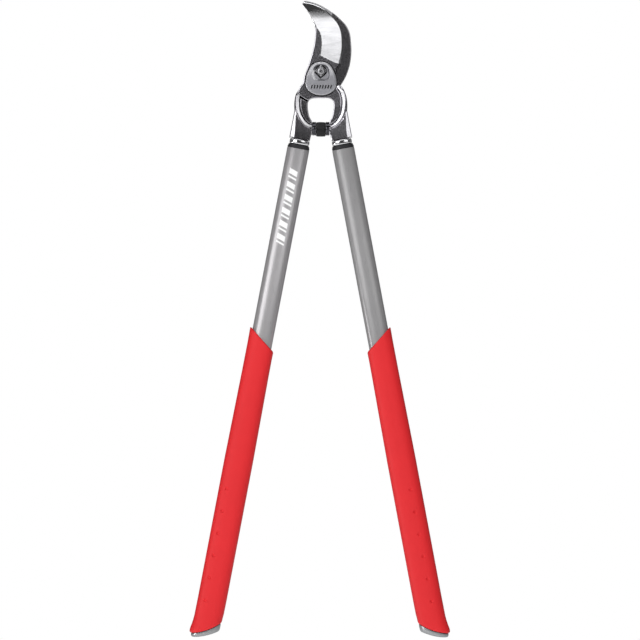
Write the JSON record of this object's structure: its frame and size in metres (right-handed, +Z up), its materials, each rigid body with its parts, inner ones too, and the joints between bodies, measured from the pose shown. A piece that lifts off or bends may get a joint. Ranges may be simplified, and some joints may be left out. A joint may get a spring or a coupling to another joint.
{
  "type": "bypass loppers",
  "caption": "Long-handled bypass loppers: a curved blade passes a hook on one pivot, with oval tube handles and moulded grips.",
  "frame": {"origin": "middle of the flat top of the eye below the pivot, where the loppers hang on a peg", "axes": "+Z up along the tool towards the jaws, +X from the left to the right handle, +Y from the blade side in front to the hook side behind"},
  "size_m": [0.3362, 0.027, 0.8119],
  "materials": {
    "forged_blade": "forged steel, dark coating below the ground and polished blade",
    "forged_hook": "dark forged coating",
    "satin_plate": "satin",
    "zinc": "zinc plated",
    "bright_steel": "bright",
    "chrome": "polished",
    "rubber": "moulded",
    "black_plastic": "matte",
    "tube_metal": "satin grey",
    "red_grip": "soft moulded",
    "grey_plastic": "satin"
  },
  "bodies": {
    "hook_side": {"hook": "forged_hook", "pivot_bolt": "zinc", "pivot_nut": "zinc", "pivot_washer": "zinc", "bumper_strike": "bright_steel", "left_ferrule": "chrome", "left_collar": "black_plastic", "left_tube": "tube_metal", "left_tang_pin": "zinc", "left_grip": "red_grip", "left_end_cap": "grey_plastic"},
    "blade_side": {"blade": "forged_blade", "pivot_plate": "satin_plate", "bumper_seat": "bright_steel", "bumper_block": "rubber", "right_ferrule": "chrome", "right_collar": "black_plastic", "right_tube": "tube_metal", "right_tang_pin": "zinc", "right_grip": "red_grip", "right_end_cap": "grey_plastic"}
  },
  "joints": [
    {"name": "head_pivot", "type": "hinge", "parent": "hook_side", "child": "blade_side", "pos_m": [0, 0, 0.0341], "axis": [0, -1, 0], "range_deg": [0, 62]}
  ]
}
